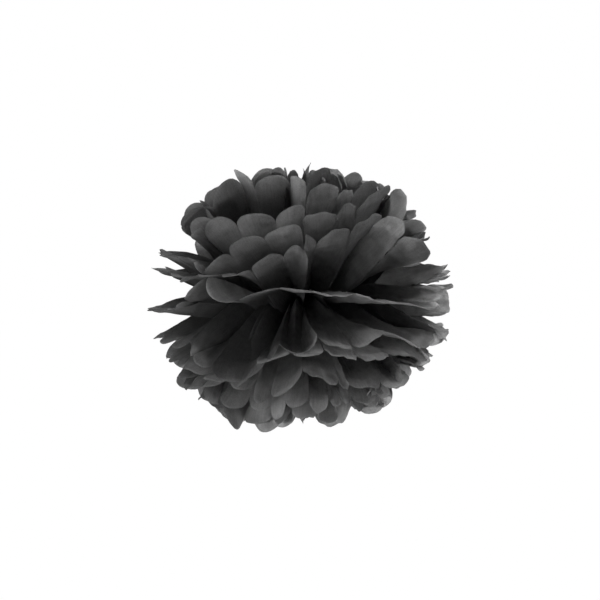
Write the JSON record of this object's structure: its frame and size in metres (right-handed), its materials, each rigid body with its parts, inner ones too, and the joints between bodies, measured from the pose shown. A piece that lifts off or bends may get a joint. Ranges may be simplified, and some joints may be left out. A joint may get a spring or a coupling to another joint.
{
  "type": "tissue paper pom pom",
  "caption": "Round hanging decoration of black tissue paper: pleated sheets tied round the middle with wire, cut round at both ends and pulled apart into petals.",
  "frame": {"origin": "middle of the wire tie, at the centre of the ball", "axes": "+X along the folded strip, +Y across it through the seams between the two fans, +Z along the axis that the upper petals are pulled towards"},
  "size_m": [0.3496, 0.3571, 0.2978],
  "materials": {
    "tissue_paper": "matte",
    "tie_wire": "satin"
  },
  "bodies": {
    "root": {"tissue_sheet_01": "tissue_paper", "tissue_sheet_02": "tissue_paper", "tissue_sheet_03": "tissue_paper", "tissue_sheet_04": "tissue_paper", "tissue_sheet_05": "tissue_paper", "tissue_sheet_06": "tissue_paper", "tissue_sheet_07": "tissue_paper", "tissue_sheet_08": "tissue_paper", "tissue_sheet_09": "tissue_paper", "tissue_sheet_10": "tissue_paper", "tissue_sheet_11": "tissue_paper", "tie_wire": "tie_wire"}
  },
  "joints": []
}
